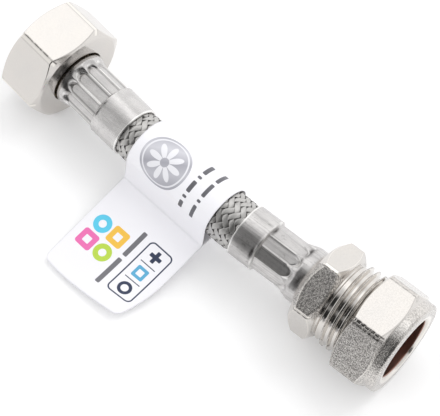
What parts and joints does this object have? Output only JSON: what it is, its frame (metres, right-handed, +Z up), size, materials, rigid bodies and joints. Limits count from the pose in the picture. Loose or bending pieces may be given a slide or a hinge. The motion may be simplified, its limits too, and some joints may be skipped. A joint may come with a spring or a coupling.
{
  "type": "flexible tap connector",
  "caption": "Short braided flexible plumbing connector with a swivelling hexagonal tap nut at one end and a compression fitting for copper pipe at the other.",
  "frame": {"origin": "on the surface that the connector lies on, under the middle of its box", "axes": "+Z up from a flat of each nut, +X along the compression end, from the hose to the pipe, and the label's flag lies on the -Y side"},
  "size_m": [0.114, 0.0526, 0.024],
  "materials": {
    "nickel_plate": "nickel-plated brass, smooth top faces and fine blasted side faces",
    "brass_tail": "turned brass",
    "olive_copper": "satin copper, a little brown",
    "sleeve_steel": "bright stainless steel with crimp marks",
    "braid_steel": "woven stainless wire",
    "tube_rubber": "matt black rubber",
    "washer_fibre": "matt fibre rubber",
    "label_film": "white film with coloured print"
  },
  "bodies": {
    "compression_end": {"compression_body": "nickel_plate", "compression_sleeve": "sleeve_steel"},
    "hose": {"braid": "braid_steel", "inner_tube": "tube_rubber", "label": "label_film"},
    "tap_end": {"tap_tail": "brass_tail", "tap_sleeve": "sleeve_steel", "tap_washer": "washer_fibre"},
    "tap_nut": {"tap_nut": "nickel_plate"},
    "olive": {"olive": "olive_copper"},
    "compression_nut": {"compression_nut": "nickel_plate"}
  },
  "joints": [
    {"name": "hose_bend", "type": "hinge", "parent": "compression_end", "child": "hose", "pos_m": [0.0084, 0.00552, 0.012], "axis": [0, 0, -1], "range_deg": [-12, 12], "stiffness_Nm_per_rad": 0.5, "deforming": ["braid", "inner_tube"]},
    {"name": "tap_end_bend", "type": "hinge", "parent": "hose", "child": "tap_end", "pos_m": [-0.02179, 0.00816, 0.012], "axis": [0, 0, -1], "range_deg": [-12, 12], "stiffness_Nm_per_rad": 0.5, "deforming": ["braid", "inner_tube"]},
    {"name": "tap_nut_swivel", "type": "hinge", "parent": "tap_end", "child": "tap_nut", "pos_m": [-0.04893, 0.01188, 0.012], "axis": [-0.9907, 0.1357, 0], "continuous": true},
    {"name": "compression_nut_travel", "type": "slide", "parent": "compression_end", "child": "olive", "axis": [1, 0, 0], "range_m": [0, 0.004]},
    {"name": "compression_nut_turn", "type": "hinge", "parent": "olive", "child": "compression_nut", "pos_m": [0.0506, 0.00552, 0.012], "axis": [1, 0, 0], "range_deg": [0, 792]}
  ],
  "couplings": [
    {"joint": "tap_end_bend", "follows": "hose_bend", "ratio": 1},
    {"joint": "compression_nut_travel", "follows": "compression_nut_turn", "m_per_rad": 0.00028871}
  ]
}
